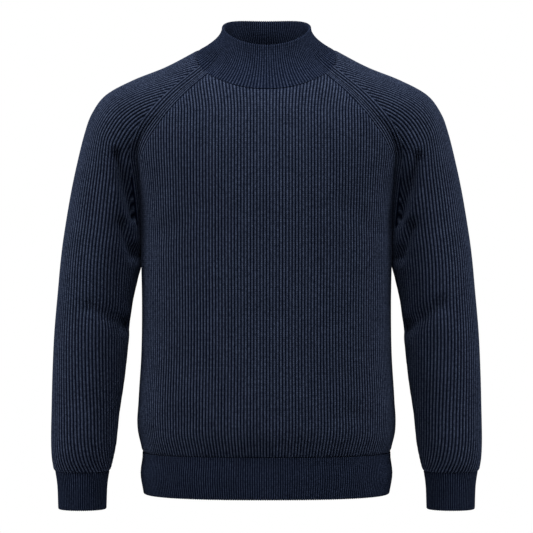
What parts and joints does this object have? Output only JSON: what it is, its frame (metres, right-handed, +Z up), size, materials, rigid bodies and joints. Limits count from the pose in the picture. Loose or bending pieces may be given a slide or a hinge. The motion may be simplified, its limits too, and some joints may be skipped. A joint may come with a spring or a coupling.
{
  "type": "mock neck sweater",
  "caption": "Long-sleeved raglan sweater in vertical rib knit with a standing mock neck, hem band and cuffs, filled out and hollow.",
  "frame": {"origin": "middle of the neck seam, where the wearer's neck and shoulders hold the sweater up", "axes": "+Z up, -Y out of the front, +X towards the wearer's left sleeve"},
  "size_m": [0.6414, 0.2491, 0.7352],
  "materials": {
    "rib_knit": "matt navy heather wool rib",
    "fine_rib": "matt navy heather wool fine rib"
  },
  "bodies": {
    "root": {"front": "rib_knit", "back": "rib_knit", "sleeve_right": "rib_knit", "sleeve_left": "rib_knit", "collar": "fine_rib", "hem_band": "fine_rib", "cuff_right": "fine_rib", "cuff_left": "fine_rib"}
  },
  "joints": []
}
